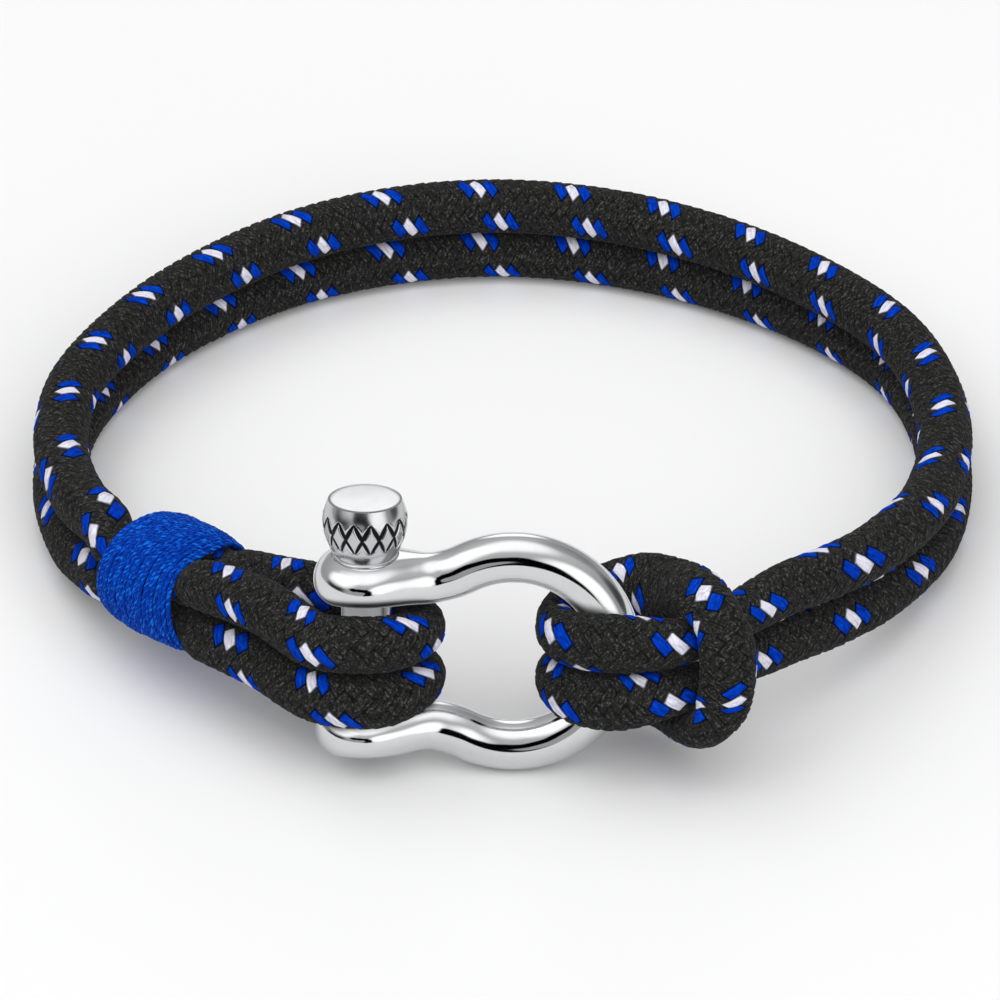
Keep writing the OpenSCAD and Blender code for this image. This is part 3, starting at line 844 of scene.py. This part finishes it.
@dataclass
class Binding:
    """Whipping of twisted thread, in one close layer round the four strands."""

    route: CordRoute
    half_w: float = 4.86
    half_h: float = 4.16
    swell: float = 0.4
    turns: int = 23
    thread_r: float = 0.215
    lobe: float = 0.22
    lay: float = 1.4
    # Length round the thread, for the corner coordinates
    girth: float = 1.35
    # Turns over which the thread thins to nothing at each end
    fade: float = 0.25
    wander: float = 0.05
    # Sines of the helix's sway along the oval and away from it: size, waves in a radian of turn, and start
    sway_along: tuple[tuple[float, float, float], ...] = ((1.0, 0.37, 0.0), (0.7, 1.71, 1.0), (0.5, 5.3, 2.0))
    sway_out: tuple[tuple[float, float, float], ...] = ((0.6, 0.83, 0.5), (0.5, 3.1, 0.0))
    # How much further the front mouth reaches on one side, and where round the oval that is, in radians
    tilt: float = 0.6
    tilt_at: float = 3.6
    tilt_fade: float = 1.5
    # How far the front mouth draws in on the strands at its top, as a share of the oval
    hug: float = 0.12
    hug_fade: float = 6.0
    sides: int = 10
    step: float = 0.13
    # The thread's crests get a painted highlight, and its valleys painted shade
    thread: YarnFinish = YarnFinish(
        "blue_thread", (0.0002, 0.002, 0.03), (0.0003, 0.014, 0.19), (0.0003, 0.033, 0.32), (0.004, 0.18, 0.79),
        roughness=0.6, sheen=0.0, gloss=0.04, fibre=(0.9, 4.0), streaks=0.85, crest=0.08, lit_at=(0.55, 0.64),
        ragged=0.4, relief=0.03,
    )

    def oval(self, turn: np.ndarray, grow: np.ndarray) -> tuple[np.ndarray, np.ndarray]:
        """Side and height of the oval at an angle, and the outward direction there.

        The oval is an ellipse with half sizes half_w and half_h, both grown by grow.
        """
        w, h = self.half_w + grow, self.half_h + grow
        flat = np.stack([w * np.cos(turn), h * np.sin(turn)], -1)
        out = unit(np.stack([h * np.cos(turn), w * np.sin(turn)], -1))
        return flat, out

    def world(self, local: np.ndarray) -> np.ndarray:
        """World points of places along, to the side of and up from the binding's middle."""
        return np.array(self.route.bind_at) + np.array(self.route.place) + local @ self.route.bind_axes

    def sway(self, turn: np.ndarray, sines: tuple[tuple[float, float, float], ...]) -> np.ndarray:
        """Sum of sines of the helix's turn, times wander."""
        size, rate, start = np.array(sines).T
        return self.wander * (size * np.sin(turn[:, None] * rate + start)).sum(-1)

    def thread_surface(self) -> Surface:
        """The thread: a two-lobed section that turns once in each lay, carried along a helix round the oval.

        The radius of the section at angle f and length s is r (1 - lobe sin^2(f - 2 pi s / lay)). The oval grows
        by swell (1 - |t|^3) at t half lengths from the middle. The helix sways by sums of sines of its own turn.
        Its first turns reach further along by tilt (1 + cos(turn - tilt_at)), and the oval there is smaller by
        hug cos^2(2 turn) (1 + sin(turn)) / 2. Both fade with a power of the share of the way to the other end.
        """
        half = self.route.bind_half - self.thread_r
        spread = self.turns * 2 * math.pi
        length = self.turns * math.pi * (self.half_w + self.half_h)
        rings = int(length / self.step)
        share = np.linspace(0.0, 1.0, rings)
        turn = share * spread
        grow = self.swell * (1 - np.abs(1 - 2 * share) ** 3)
        flat, out = self.oval(turn, grow + self.sway(turn, self.sway_out))
        front = 1 - share
        reach = self.tilt * (1 + np.cos(turn - self.tilt_at)) * front**self.tilt_fade
        tight = self.hug * np.cos(2 * turn) ** 2 * (1 + np.sin(turn)) / 2 * front**self.hug_fade
        flat = flat * (1 - tight)[:, None]
        middle = np.column_stack([half - 2 * half * share + self.sway(turn, self.sway_along) + reach, flat])
        out = np.column_stack([np.zeros(rings), out])
        ahead = tangents(middle)
        side = np.cross(ahead, out)
        along = np.concatenate([[0.0], np.cumsum(np.linalg.norm(np.diff(middle, axis=0), axis=-1))])
        angle = np.linspace(0.0, 2 * math.pi, self.sides, endpoint=False)
        phase = angle[None] - (2 * math.pi * along / self.lay)[:, None]
        flute = self.lobe * np.sin(phase) ** 2
        end = np.minimum(1.0, np.minimum(share, 1 - share) * self.turns / self.fade)
        radius = self.thread_r * (1 - flute) * np.sqrt(end)[:, None]
        points = (
            middle[:, None]
            + (radius * np.cos(angle))[..., None] * out[:, None]
            + (radius * np.sin(angle))[..., None] * side[:, None]
        )
        uv = ring_uv(along, self.sides)
        uv[..., 1] = (uv[..., 1] - uv[..., 0] / self.lay) * self.girth
        return Surface(
            self.world(points.reshape(-1, 3)),
            ring_quads(rings, self.sides)[:, ::-1],
            uv[:, :, ::-1].reshape(-1, 4, 2),
            values={"height": np.clip(1 - 2 * flute, 0, 1).ravel()},
        )

    def build(self) -> bpy.types.Object:
        """Builds the binding, dresses it and lets it stand for its solid."""
        piece = self.thread_surface().to_object("thread_turns")
        piece.data.materials.append(self.thread.material())
        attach(piece, Body.ROOT.value)
        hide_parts("binding")
        piece.visible_glossy = False
        return piece


@dataclass
class Shackle:
    """Bow of round wire whose two ends are forged into drilled ears."""

    route: CordRoute
    clasp: ClaspFrame = ClaspFrame()
    wire_d: float = 4.0
    bow_r: float = 8.1
    bow_x: float = 11.7
    neck_r: float = 8.0
    ear_w: float = 6.3
    ear_r: float = 4.1
    ear_t: float = 4.4
    seat: float = 1.75
    seat_r: float = 2.7
    bore_d: float = 3.9
    arm_x: float = 3.4
    blend_x: float = 5.4
    taper_x: float = 6.2
    ear_square: float = 0.85
    sides: int = 96
    # Points of the line along an ear, an arm, a neck and the bow
    line_steps: tuple[int, int, int, int] = (48, 10, 16, 121)
    # Angles round the ear's disc, from its left end, that its points are under
    ear_sweep: tuple[float, float] = (0.6, 140.0)
    # Angle between faces that makes their edge sharp, in degrees
    sharp: float = 40.0
    # Gap to the cord up to which the polish is painted dark, and from which it is clear, on the upper ear and
    # elsewhere: painted shade that stands in for the dark cord's reflection
    ear_shaded: tuple[float, float] = (0.9, 1.7)
    wire_shaded: tuple[float, float] = (0.2, 1.1)
    # Places along the arm between which the one gives way to the other
    shade_x: tuple[float, float] = (5.0, 9.0)
    # Steel whose dark places are the painted shade near the cord
    steel: SteelFinish = SteelFinish("polished_steel_painted_shade", "shade", (0.0, 1.0), 0.1)

    def line(self) -> np.ndarray:
        """Middle line of the wire in x, v, w: ear, straight arm, neck arc, bow, and the same back below."""
        neck = math.acos((self.ear_w + self.neck_r) / (self.bow_r + self.neck_r))
        neck_x = self.bow_x - (self.bow_r + self.neck_r) * math.sin(neck)
        ear_steps, arm_steps, neck_steps, bow_steps = self.line_steps
        ear = -self.ear_r * np.cos(np.radians(np.linspace(*self.ear_sweep, ear_steps)))
        arm = np.concatenate([ear, np.linspace(ear[-1], neck_x, arm_steps)[1:-1]])
        arm = np.stack([arm, np.full(len(arm), self.ear_w)], -1)
        t = np.linspace(0.0, neck, neck_steps, endpoint=False)
        bend = np.stack([neck_x + self.neck_r * np.sin(t), self.ear_w + self.neck_r * (1 - np.cos(t))], -1)
        sweep = math.pi / 2 + neck
        t = np.linspace(sweep, -sweep, bow_steps)
        bow = np.stack([self.bow_x + self.bow_r * np.cos(t), self.bow_r * np.sin(t)], -1)
        upper = np.vstack([arm, bend])
        lower = upper[::-1] * np.array([1.0, -1.0])
        flat = np.vstack([upper, bow, lower])
        return np.stack([flat[:, 0], np.zeros(len(flat)), flat[:, 1]], -1)

    def section(self, x: np.ndarray, rim: float) -> tuple[np.ndarray, np.ndarray, np.ndarray]:
        """Half width, half height and squareness of the wire at x.

        The ear is half a disc to the left of the pin, with a rounded rim, and its width eases to the wire's on
        the right. Its share of the height eases from 1 to 0 between the middle of the arm and the blend.

        Args:
            x: Places along the arm.
            rim: Half height of the ear on one side.

        Returns:
            The three numbers at each place.
        """
        wire_r = self.wire_d / 2
        ear = 1 - ease((x - self.arm_x / 2) / (self.blend_x - self.arm_x / 2))
        disc = np.sqrt(np.maximum(0.0, self.ear_r**2 - x**2))
        across = np.where(x < 0, disc, self.ear_r + (wire_r - self.ear_r) * ease(x / self.taper_x))
        inside = np.clip(rim - (x + self.ear_r), 0.0, rim)
        height = np.where(x + self.ear_r < rim, np.sqrt(rim**2 - inside**2), rim + (wire_r - rim) * (1 - ear))
        return across, height, 1 + (self.ear_square - 1) * ear

    def surface(self) -> Surface:
        """The wire without its bores: a superellipse section carried along the line.

        The section's outer half is as high as the domed side of an ear, and its other half is lower.
        """
        line = self.line()
        across, domed, square = self.section(line[:, 0], self.ear_t / 2)
        lower = self.section(line[:, 0], self.seat)[1]
        ahead = tangents(line)
        up = np.cross(ahead, [0.0, 1.0, 0.0])
        angle = np.linspace(0.0, 2 * math.pi, self.sides, endpoint=False)
        c, s = np.cos(angle), np.sin(angle)
        c = np.sign(c) * np.abs(c) ** square[:, None]
        s = np.sign(s) * np.abs(s) ** square[:, None]
        height = np.where(c > 0, domed[:, None], lower[:, None])
        local = (
            line[:, None]
            + (height * c)[..., None] * up[:, None]
            + (across[:, None] * s)[..., None] * np.array([0.0, 1.0, 0.0])
        )
        return Surface(self.clasp.points(local.reshape(-1, 3)), ring_quads(len(line), self.sides))

    def bore(self) -> bpy.types.Object:
        """A cylinder through both ears with a wider one over the pin's seat, to be cut out of them."""
        angle = np.linspace(0.0, 2 * math.pi, self.sides, endpoint=False)
        end, seat, bore_r = 2 * self.ear_w, self.ear_w + self.seat, self.bore_d / 2
        w = np.array([-end, -end, seat, seat, end, end])
        radius = np.array([0.0, bore_r, bore_r, self.seat_r, self.seat_r, 0.0])
        flat = [radius[:, None] * np.cos(angle), radius[:, None] * np.sin(angle)]
        local = np.stack([*flat, np.repeat(w[:, None], self.sides, 1)], -1)
        quads = ring_quads(len(w), self.sides)[:, ::-1]
        return Surface(self.clasp.points(local.reshape(-1, 3)), quads).to_object("bore")

    def build(self) -> bpy.types.Object:
        """Builds the shackle with its bores, paints shade on it near the cord, dresses it and lets it stand for its
        solid.
        """
        piece = self.surface().to_object("shackle_wire")
        cutter = self.bore()
        cut = piece.modifiers.new("bores", "BOOLEAN")
        cut.object = cutter
        cut.solver = "EXACT"
        depsgraph = bpy.context.evaluated_depsgraph_get()
        mesh = bpy.data.meshes.new_from_object(piece.evaluated_get(depsgraph))
        piece.modifiers.clear()
        piece.data = mesh
        bpy.data.objects.remove(cutter)
        mesh.polygons.foreach_set("use_smooth", np.ones(len(mesh.polygons), dtype=bool))
        mesh.set_sharp_from_angle(angle=math.radians(self.sharp))
        # Painted shade: the polish is painted dark near the cord, to stand in for the dark cord's reflection
        places = np.empty(3 * len(mesh.vertices))
        mesh.vertices.foreach_get("co", places)
        places = places.reshape(-1, 3) / MM
        start, stop = self.shade_x
        local = (places - np.array(self.clasp.middle)) @ self.clasp.axes.T
        wire = np.where(local[:, 2] > 0, ease((local[:, 0] - start) / (stop - start)), 1.0)
        near, far = (e + (w - e) * wire for e, w in zip(self.ear_shaded, self.wire_shaded))
        attribute = mesh.attributes.new(self.steel.mask, "FLOAT", "POINT")
        attribute.data.foreach_set("value", self.route.line().shade(places, near, far).astype(np.float32))
        mesh.materials.clear()
        mesh.materials.append(self.steel.material())
        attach(piece, Body.ROOT.value)
        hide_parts("shackle")
        return piece


@dataclass
class ScrewPin:
    """Pin with a collar and a barrel head: a row of blackened crosses is cut round the barrel."""

    clasp: ClaspFrame = ClaspFrame()
    shank_d: float = 3.8
    ear_top: float = 8.05
    collar_d: float = 5.2
    collar_h: float = 0.45
    groove: float = 0.09
    waist_in: float = 0.135
    # Inset and rise of the shank's rounded tip
    tip: tuple[tuple[float, float], ...] = ((0.25, 0.0), (0.05, 0.08), (0.0, 0.3))
    # Small step of the profile that keeps a corner crisp
    crisp: float = 0.02
    # Points of the profile round the bead, up the barrel and over the flat top
    profile_steps: tuple[int, int, int] = (9, 90, 9)
    # Angle between faces that makes their edge sharp, in degrees
    sharp: float = 32.0
    head_d: float = 6.72
    head_h: float = 5.2
    top_d: float = 5.76
    bevel: float = 0.1
    top_dome: float = 0.05
    # How dark the bevel round the flat top is painted: a painted dark reflection along the rim
    rim_painted_dark: float = 0.45
    base_r: float = 2.55
    widest: float = 0.62
    crosses: int = 15
    # Place of one cross round the head from the front, to the right, in degrees
    cross_turn: float = -3.6
    cross_low: float = 1.5
    cross_mid: float = 2.8
    cross_high: float = 4.15
    stroke_high: float = 0.215
    stroke_low: float = 0.165
    # How far aside the arms end above and below, as a share of the way to the next cross
    spread_high: float = 0.47
    spread_low: float = 0.46
    # Place on the lens shape of a stroke at which an arm starts, from 0 to 1
    lens_from: float = 0.2
    # Place of a stroke's edge and of the burr along it, each with its width, as shares of the half width
    cut_edge: tuple[float, float] = (0.55, 0.6)
    burr_at: tuple[float, float] = (1.6, 0.45)
    depth: float = 0.12
    burr: float = 0.025
    sides: int = 540
    # How dark the shank is painted: painted shade that stands in for the reflection of the dark cord round it
    shank_painted_shade: float = 0.44
    # Its mask holds the crosses' blackening and the painted shade
    steel: SteelFinish = SteelFinish("pin_steel_blackened_painted_shade", "blacking_and_painted_shade", (0.3, 0.6), 0.2, (0.54, 0.55, 0.56), 0.17)

    def profile(self) -> np.ndarray:
        """Radius and height from the shank's lower end to the middle of the flat top.

        The collar is a half round bead. The barrel bulges by a sine from its base to its widest place, and draws
        in by a cosine to the top.
        """
        top, foot, end = self.ear_top, self.ear_top + self.collar_h, self.ear_top + self.head_h
        shank_r, head_r, edge, crisp = self.shank_d / 2, self.head_d / 2, self.top_d / 2, self.crisp
        bead_steps, barrel_steps, top_steps = self.profile_steps

        lower = [(0, -top)] + [(shank_r - inset, rise - top) for inset, rise in self.tip]
        lower += [(shank_r, top - crisp), (shank_r + crisp, top)]

        turn = np.linspace(-math.pi / 2, math.pi / 2, bead_steps)
        bead_r = (self.collar_h - self.groove) / 2
        bead_x = self.collar_d / 2 - bead_r
        bead = np.stack([bead_x + bead_r * np.cos(turn), top + bead_r * (1 + np.sin(turn))], -1)
        waist = [(self.base_r - self.waist_in, z) for z in (foot - self.groove, foot - crisp / 2)]

        share = np.linspace(0.0, 1.0, barrel_steps)
        under = np.minimum(1, share / self.widest)
        over = np.maximum(0, (share - self.widest) / (1 - self.widest))
        low = self.base_r + (head_r - self.base_r) * np.sin(math.pi / 2 * under)
        high = edge + (head_r - edge) * np.cos(math.pi / 2 * over)
        barrel = np.stack([np.where(share < self.widest, low, high), foot + (end - foot) * share], -1)
        barrel = np.vstack([barrel[barrel[:, 1] < end - self.bevel], [(edge + crisp, end - self.bevel)]])

        flat = np.linspace(1.0, 0.0, top_steps)
        upper = np.stack([(edge - self.bevel) * flat, end - self.top_dome * flat**2], -1)
        return np.vstack([lower, bead, waist, barrel, upper])

    def strokes(self, radius: np.ndarray, height: np.ndarray, angle: np.ndarray) -> np.ndarray:
        """Distance from the nearest stroke's middle line, as a share of its half width there.

        The arms of each cross run on lines from its middle to points almost half way to its neighbours, above and
        below. A stroke's half width swells as the square root of a sine along each arm, like a lens.

        Args:
            radius: Distance from the pin's axis.
            height: Height in the clasp's frame.
            angle: Angle round the axis from x towards v, in radians.

        Returns:
            The share, and FAR beyond the ends of the arms.
        """
        pitch = 2 * math.pi / self.crosses
        first = math.radians(self.cross_turn) - math.pi / 2
        fold = np.abs(((angle - first) / pitch + 1 / 2) % 1.0 - 1 / 2) * pitch * radius
        z = height - self.ear_top
        is_high = z > self.cross_mid
        rise = np.where(is_high, self.cross_high - self.cross_mid, self.cross_mid - self.cross_low)
        arm = np.abs(z - self.cross_mid) / rise
        reach = np.where(is_high, self.spread_high, self.spread_low) * pitch * radius
        off = np.abs(fold - arm * reach) * rise / np.hypot(rise, reach)
        lens = np.sqrt(np.sin(math.pi * np.clip(self.lens_from + (1 - self.lens_from) * arm, 0.0, 1.0)))
        half = np.where(is_high, self.stroke_high, self.stroke_low) * lens + TINY
        return np.where(arm <= 1, off / half, FAR)

    def surface(self) -> Surface:
        """The profile turned round the pin's axis, sunk where it is blackened, with painted shade on the shank and
        a painted dark reflection on the top's rim.
        """
        profile = self.profile()
        ahead = tangents(profile)
        angle = np.linspace(0.0, 2 * math.pi, self.sides, endpoint=False)
        radius = np.repeat(profile[:, :1], self.sides, 1)
        height = np.repeat(profile[:, 1:], self.sides, 1)
        share = self.strokes(radius, height, angle[None])
        share[height < self.ear_top + self.collar_h] = FAR
        edge, edge_width = self.cut_edge
        mask = 1 - ease((share - edge) / edge_width)
        crest, crest_width = self.burr_at
        lift = self.burr * np.exp(-(((share - crest) / crest_width) ** 2)) - self.depth * mask
        radius = radius + lift * ahead[:, 1:]
        height = height - lift * ahead[:, :1]
        local = np.stack([radius * np.cos(angle), radius * np.sin(angle), height], -1)
        points = self.clasp.points(local.reshape(-1, 3))
        # The crosses' blackening is the pin's own; the shank gets painted shade and the top's rim a painted dark
        # reflection
        dark = np.where(height < self.ear_top, self.shank_painted_shade, mask)
        top_steps = self.profile_steps[-1]
        dark[-top_steps - 1 : 1 - top_steps] = self.rim_painted_dark
        quads = ring_quads(len(profile), self.sides)[:, ::-1]
        return Surface(points, quads, values={self.steel.mask: dark.ravel()})

    def build(self) -> bpy.types.Object:
        """Builds the pin, dresses it and lets it stand for its solid."""
        piece = self.surface().to_object("pin_turned")
        piece.data.set_sharp_from_angle(angle=math.radians(self.sharp))
        piece.data.materials.append(self.steel.material())
        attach(piece, Body.PIN.value)
        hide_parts("screw_pin")
        piece.visible_glossy = False
        return piece


@dataclass(frozen=True)
class SoftBox:
    """Round light with a soft rim, far away in the room, or a dark card where its level is below 0.

    Attributes:
        toward: Direction of its middle.
        core: Angle round the middle within which it has its full level, in degrees.
        rim: Angle at which it has faded out, in degrees.
        level: Brightness that it adds.
    """

    toward: tuple[float, float, float]
    core: float
    rim: float
    level: float


@dataclass(frozen=True)
class Lamp:
    """Square area lamp that looks at the target, and isn't seen in the polish.

    Attributes:
        name: Name of the lamp.
        at: Place, in millimetres from the target.
        size: Width, in millimetres.
        power: Power, in watts.
    """

    name: str
    at: tuple[float, float, float]
    size: float
    power: float

    def build(self, target: Vector) -> None:
        """Hangs the lamp up."""
        data = bpy.data.lights.new(self.name, "AREA")
        data.shape = "SQUARE"
        data.size = self.size * MM
        data.energy = self.power
        lamp = bpy.data.objects.new(self.name, data)
        lamp.visible_glossy = False
        bpy.context.scene.collection.objects.link(lamp)
        lamp.location = (target + Vector(self.at)) * MM
        lamp.rotation_euler = (-Vector(self.at)).to_track_quat("-Z", "Y").to_euler()


@dataclass
class Studio:
    """Plain pale floor, soft light and the photograph's camera."""

    image: int = 1000
    target: tuple[float, float, float] = (-0.045, 3.89, -0.02)
    target_pixel: tuple[float, float] = (502.0, 500.3)
    pixels_per_mm: float = 12.44
    distance: float = 2000.0
    elevation: float = 36.0
    sensor: float = 36.0
    # Nearest and furthest that the camera sees, in metres
    clip: tuple[float, float] = (0.1, 50.0)
    floor_half: float = 600.0
    floor: FloorFinish = FloorFinish()
    # Height of the direction, from -1 to 1, and brightness of the room's walls there
    walls: tuple[tuple[float, float], ...] = ((0.0, 0.50), (0.05, 0.45), (0.17, 0.42), (0.5, 0.50), (1.0, 0.75))
    boxes: tuple[SoftBox, ...] = (
        SoftBox((0.0, 0.0, 1.0), 12.0, 36.0, 0.75),
        SoftBox((-0.68, -0.18, 0.71), 14.0, 38.0, 1.0),
        SoftBox((0.58, -0.74, 0.34), 10.0, 32.0, 1.2),
        SoftBox((0.0, 1.0, 0.34), 5.0, 17.0, 1.25),
        SoftBox((-0.9, -0.35, 0.12), 8.0, 30.0, -0.4),
        SoftBox((0.95, 0.2, 0.12), 8.0, 26.0, -0.35),
        SoftBox((0.75, 0.65, 0.8), 8.0, 26.0, -0.2),
    )
    # Row of small black cards at the front, which the polish shows as a crease, and their core, rim and level
    cards: tuple[tuple[float, float, float], ...] = (
        (-0.39, -0.80, 0.45), (-0.20, -0.86, 0.47), (0.0, -0.90, 0.44),
        (0.15, -0.94, 0.31), (0.15, -0.98, 0.12), (0.08, -0.99, -0.02),
    )
    card: tuple[float, float, float] = (3.0, 11.0, -1.3)
    lamps: tuple[Lamp, ...] = (
        Lamp("key", (-300.0, 350.0, 800.0), 500.0, 0.94),
        Lamp("fill", (100.0, -700.0, 900.0), 1400.0, 9.4),
    )
    backdrop: float = 1.0
    # Share of the room's light that falls on matt surfaces, beside the lamps'
    ambient: float = 0.76

    def camera(self) -> bpy.types.Object:
        """Camera at the photograph's angle: its focal length follows from the scale at the target."""
        data = bpy.data.cameras.new("camera")
        data.sensor_width = self.sensor
        data.lens = self.pixels_per_mm * self.distance * self.sensor / self.image
        data.shift_x = (self.image / 2 - self.target_pixel[0]) / self.image
        data.shift_y = (self.target_pixel[1] - self.image / 2) / self.image
        data.clip_start, data.clip_end = self.clip
        camera = bpy.data.objects.new("camera", data)
        bpy.context.scene.collection.objects.link(camera)
        rise = math.radians(self.elevation)
        back = Vector((0.0, -math.cos(rise), math.sin(rise)))
        camera.location = (Vector(self.target) + back * self.distance) * MM
        camera.rotation_euler = (-back).to_track_quat("-Z", "Y").to_euler()
        bpy.context.scene.camera = camera
        return camera

    def board(self) -> bpy.types.Object:
        """Flat floor under the bracelet."""
        half = self.floor_half
        points = np.array([(-half, -half, 0), (half, -half, 0), (half, half, 0), (-half, half, 0)], float)
        piece = Surface(points, np.array([[0, 1, 2, 3]])).to_object("floor")
        piece.data.materials.append(self.floor.material())
        return piece

    def room(self) -> None:
        """Soft room: grey walls, round soft boxes and dark cards, which the polished steel shows.

        The brightness of a direction is the walls' at its height plus each box's level times a smooth step of the
        cosine of the angle between the direction and the box. Seen directly, the room is one plain pale backdrop.
        """
        world = bpy.data.worlds.new("room")
        bpy.context.scene.world = world
        bench = Bench(world, "Background")
        direction = bench.node("ShaderNodeTexCoord", {}).outputs["Generated"]
        height = bench.node("ShaderNodeSeparateXYZ", {0: direction}).outputs["Z"]
        ramp = bench.node("ShaderNodeValToRGB", {0: height})
        elements = ramp.color_ramp.elements
        for element, (position, level) in zip(elements, (self.walls[0], self.walls[-1])):
            element.position, element.color = position, opaque((level,) * 3)
        for position, level in self.walls[1:-1]:
            elements.new(position).color = opaque((level,) * 3)
        total = ramp.outputs[0]
        for box in (*self.boxes, *(SoftBox(toward, *self.card) for toward in self.cards)):
            inputs = {0: direction, 1: tuple(unit(np.array(box.toward)))}
            cosine = bench.node("ShaderNodeVectorMath", inputs, operation="DOT_PRODUCT").outputs["Value"]
            share = bench.between(cosine, math.cos(math.radians(box.rim)), math.cos(math.radians(box.core)))
            total = bench.math("MULTIPLY_ADD", share, box.level, total)
        total = bench.math("MAXIMUM", total, 0.0)
        path = bench.node("ShaderNodeLightPath", {})
        strength = bench.math("MULTIPLY_ADD", path.outputs["Is Diffuse Ray"], self.ambient - 1.0, 1.0)
        seen = bench.mix(path.outputs["Is Camera Ray"], total, opaque((self.backdrop,) * 3))
        bench.feed(bench.shader, {"Color": seen, "Strength": strength})

    def build(self) -> None:
        """Sets up the camera, the floor, the room and the lamps."""
        self.camera()
        self.board()
        self.room()
        for lamp in self.lamps:
            lamp.build(Vector(self.target))
        bpy.context.scene.view_settings.view_transform = "Standard"


def main() -> None:
    """Builds the studio and the bracelet, and reports each piece."""
    logging.basicConfig(level=logging.INFO, format="%(name)s: %(message)s")
    Studio().build()
    route = CordRoute()
    for sub_assembly in (BraidedCord(route), Binding(route), Shackle(route), ScrewPin()):
        piece = sub_assembly.build()
        LOG.info("%s: %d faces", piece.name, len(piece.data.polygons))


if __name__ == "__main__":
    main()
